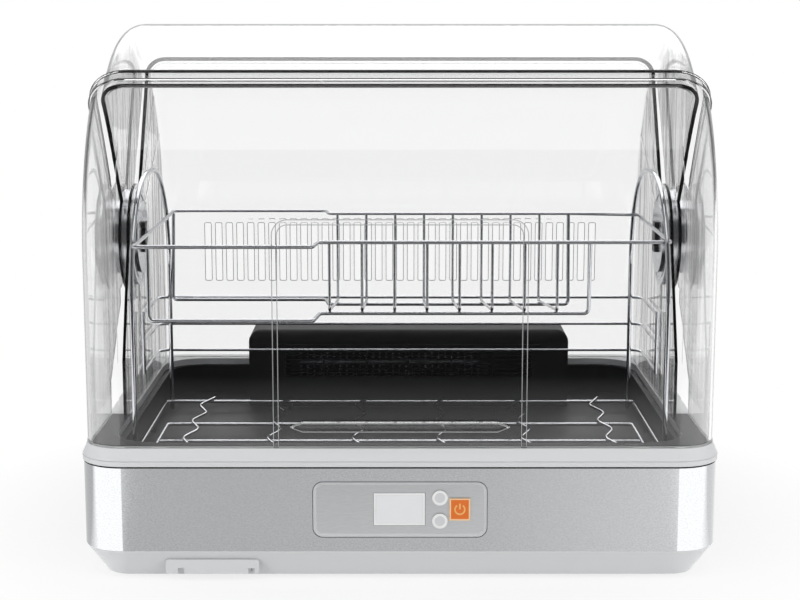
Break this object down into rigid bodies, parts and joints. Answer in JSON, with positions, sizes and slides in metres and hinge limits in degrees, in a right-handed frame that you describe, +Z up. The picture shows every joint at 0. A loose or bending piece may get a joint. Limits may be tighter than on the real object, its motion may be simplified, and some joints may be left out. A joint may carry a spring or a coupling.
{
  "type": "counter-top dish dryer",
  "caption": "Counter-top dish dryer: steel-banded base with warm-air blower, wire racks for plates, cups and bowls, and a clear dome whose front swings up",
  "frame": {"origin": "middle of the footprint on the table, under the rubber feet", "axes": "+X to the viewer's right along the width, +Y to the back, +Z up; the front faces -Y"},
  "size_m": [0.502, 0.386, 0.4295],
  "materials": {
    "rubber_black": "matte",
    "plastic_white": "smooth moulded",
    "steel_brushed": "brushed lengthwise",
    "plastic_charcoal": "satin moulded",
    "plastic_black": "satin moulded",
    "steel_bright": "turned",
    "motor_steel": "zinc grey",
    "aluminium_fins": "plain",
    "panel_silver": "silver, fine brushed",
    "screen_grey": "unlit liquid-crystal screen",
    "plastic_orange": "satin",
    "board_green": "solder mask",
    "plastic_clear": "clear polished",
    "chrome_trim": "polished plating",
    "chrome_wire": "polished plating"
  },
  "bodies": {
    "dryer": {"rubber_feet": "rubber_black", "base_pan": "plastic_white", "steel_band": "steel_brushed", "top_rim": "plastic_white", "drip_tray": "plastic_charcoal", "blower_housing": "plastic_charcoal", "outlet_grille": "plastic_charcoal", "fan_bearing": "plastic_black", "fan_motor": "motor_steel", "motor_cradle": "plastic_black", "fan_scroll": "plastic_black", "heater_core": "aluminium_fins", "heater_frame": "plastic_black", "thermostat": "steel_bright", "control_panel": "panel_silver", "display_frame": "plastic_white", "display_screen": "screen_grey", "control_board": "board_green", "button_switches": "plastic_black", "panel_screws": "steel_bright", "power_board": "board_green", "power_components": "plastic_black", "board_screws": "steel_bright", "cord_gland": "plastic_black", "gland_nut": "plastic_black", "top_hood": "plastic_clear", "rear_cover": "plastic_clear", "right_hub_disc": "chrome_trim", "left_hub_disc": "chrome_trim", "right_hub_ring": "chrome_trim", "left_hub_ring": "chrome_trim", "right_hub_pin": "steel_bright", "left_hub_pin": "steel_bright", "right_hub_knob": "plastic_black", "left_hub_knob": "plastic_black", "hub_spacers": "chrome_trim", "edge_seals": "rubber_black", "right_hoop": "chrome_wire", "left_hoop": "chrome_wire", "upper_rack_rail": "chrome_wire", "upper_rack_front": "chrome_wire", "upper_rack_rear": "chrome_wire", "plate_dividers": "chrome_wire", "guard_rails": "chrome_wire", "guard_uprights": "chrome_wire", "lower_rack_loop": "chrome_wire", "lower_rack_rail": "chrome_wire", "bowl_wires": "chrome_wire", "rack_feet": "plastic_charcoal"},
    "lid": {"front_lid": "plastic_clear", "lid_handle": "plastic_clear", "left_hub_cap": "chrome_trim", "right_hub_cap": "chrome_trim"},
    "drawer": {"drip_drawer": "plastic_white"},
    "fan": {"fan_rotor": "plastic_black", "fan_shaft": "steel_bright"},
    "power_key": {"power_button": "plastic_orange"},
    "mode_key": {"mode_button": "plastic_white"},
    "timer_key": {"timer_button": "plastic_white"}
  },
  "joints": [
    {"name": "lid_hinge", "type": "hinge", "parent": "dryer", "child": "lid", "pos_m": [0, 0, 0.247], "axis": [-1, 0, 0], "range_deg": [0, 105]},
    {"name": "drawer_slide", "type": "slide", "parent": "dryer", "child": "drawer", "axis": [0, -1, 0], "range_m": [0, 0.12]},
    {"name": "fan_spin", "type": "hinge", "parent": "dryer", "child": "fan", "pos_m": [-0.01, 0.128, 0.042], "axis": [1, 0, 0], "continuous": true},
    {"name": "power_press", "type": "slide", "parent": "dryer", "child": "power_key", "axis": [0, 1, 0], "range_m": [0, 0.0008], "stiffness_N_per_m": 400},
    {"name": "mode_press", "type": "slide", "parent": "dryer", "child": "mode_key", "axis": [0, 1, 0], "range_m": [0, 0.0008], "stiffness_N_per_m": 400},
    {"name": "timer_press", "type": "slide", "parent": "dryer", "child": "timer_key", "axis": [0, 1, 0], "range_m": [0, 0.0008], "stiffness_N_per_m": 400}
  ]
}
